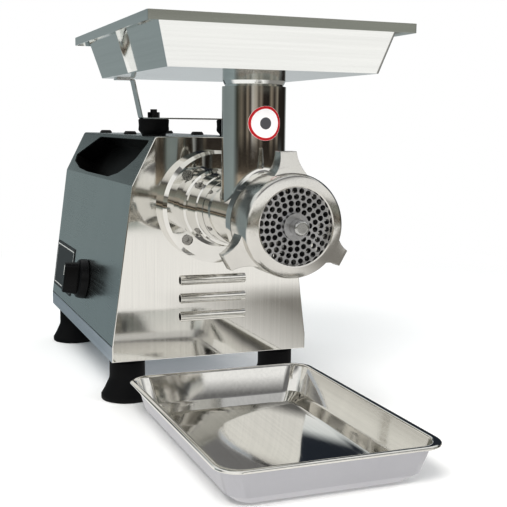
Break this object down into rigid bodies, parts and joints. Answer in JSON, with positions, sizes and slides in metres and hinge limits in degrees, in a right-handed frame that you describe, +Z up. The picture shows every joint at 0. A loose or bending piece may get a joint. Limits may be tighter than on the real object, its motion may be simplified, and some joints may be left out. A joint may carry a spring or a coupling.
{
  "type": "meat grinder",
  "caption": "Electric meat grinder with a flared stainless body, bolted grinding head, feed pan on a bracket, rotary switch and catching tray.",
  "frame": {"origin": "on the worktop, under the middle of the whole footprint with the tray in front", "axes": "+Z up, the outlet faces -Y, +X to the right of someone facing the outlet"},
  "size_m": [0.2813, 0.764, 0.425],
  "materials": {
    "brushed_stainless": "satin brushed",
    "mirror_stainless": "mirror polished",
    "cast_stainless": "polished casting",
    "pan_stainless": "polished sheet",
    "tray_stainless": "drawn sheet, half bright",
    "plate_steel": "ground",
    "screw_steel": "zinc plated",
    "black_plastic": "fine texture",
    "plate_print": "printed satin",
    "label_print": "laminated",
    "black_rubber": "moulded",
    "cast_aluminium": "as cast",
    "gear_steel": "oiled",
    "bearing_steel": "ground",
    "lamination_steel": "stacked sheet",
    "copper_winding": "varnished",
    "zinc_sheet": "galvanised",
    "capacitor_shell": "smooth"
  },
  "bodies": {
    "machine": {"base_pan": "brushed_stainless", "side_cover": "brushed_stainless", "front_panel": "mirror_stainless", "rear_panel": "brushed_stainless", "left_hand_hold": "black_plastic", "right_hand_hold": "black_plastic", "rubber_feet": "black_rubber", "foot_bolts": "screw_steel", "foot_nuts": "screw_steel", "cover_screws": "screw_steel", "rating_plate": "plate_print", "cable_gland": "black_plastic", "switch_body": "black_plastic", "outlet_flange": "cast_stainless", "flange_screws": "screw_steel", "collar_screws": "screw_steel", "grinder_head": "cast_stainless", "head_label": "label_print", "perforated_plate": "plate_steel", "plate_key": "plate_steel", "pan_bracket": "pan_stainless", "rubber_buffers": "black_rubber", "buffer_studs": "screw_steel", "gearbox_cover": "cast_aluminium", "gearbox_housing": "cast_aluminium", "output_bearings": "bearing_steel", "layshaft_bearings": "bearing_steel", "motor_frame": "cast_aluminium", "motor_end_bells": "cast_aluminium", "motor_bearings": "bearing_steel", "stator_core": "lamination_steel", "stator_windings": "copper_winding", "fan_cowl": "zinc_sheet", "motor_cradle": "zinc_sheet", "run_capacitor": "capacitor_shell", "capacitor_clamp": "screw_steel", "shaft_seal": "black_rubber"},
    "worm_drive": {"worm": "plate_steel", "knife": "plate_steel", "output_shaft": "gear_steel", "output_gear": "gear_steel"},
    "lay_drive": {"layshaft": "gear_steel", "layshaft_gear": "gear_steel"},
    "rotor": {"rotor_core": "lamination_steel", "motor_shaft": "gear_steel", "motor_pinion": "gear_steel", "cooling_fan": "black_plastic"},
    "nut": {"ring_nut": "cast_stainless"},
    "switch": {"switch_knob": "black_plastic", "switch_spindle": "gear_steel"},
    "pan": {"feed_pan": "pan_stainless"},
    "tray": {"meat_tray": "tray_stainless"}
  },
  "joints": [
    {"name": "worm_spin", "type": "hinge", "parent": "machine", "child": "worm_drive", "pos_m": [0, -0.036, 0.23], "axis": [0, 1, 0], "continuous": true},
    {"name": "lay_spin", "type": "hinge", "parent": "machine", "child": "lay_drive", "pos_m": [0.02653, -0.036, 0.17619], "axis": [0, 1, 0], "continuous": true},
    {"name": "rotor_spin", "type": "hinge", "parent": "machine", "child": "rotor", "pos_m": [0, -0.036, 0.138], "axis": [0, 1, 0], "continuous": true},
    {"name": "nut_turn", "type": "hinge", "parent": "machine", "child": "nut", "pos_m": [0, -0.036, 0.23], "axis": [0, -1, 0], "range_deg": [0, 90]},
    {"name": "switch_turn", "type": "hinge", "parent": "machine", "child": "switch", "pos_m": [-0.11425, 0.144, 0.121], "axis": [-0.9917, 0, 0.1287], "range_deg": [-60, 60]},
    {"name": "pan_lift", "type": "slide", "parent": "machine", "child": "pan", "axis": [0, 0, 1], "range_m": [0, 0.06]},
    {"name": "tray_slide", "type": "slide", "parent": "machine", "child": "tray", "axis": [0, -1, 0], "range_m": [0, 0.25]}
  ],
  "couplings": [
    {"joint": "lay_spin", "follows": "worm_spin", "ratio": -2.75},
    {"joint": "rotor_spin", "follows": "worm_spin", "ratio": 8.6167}
  ]
}
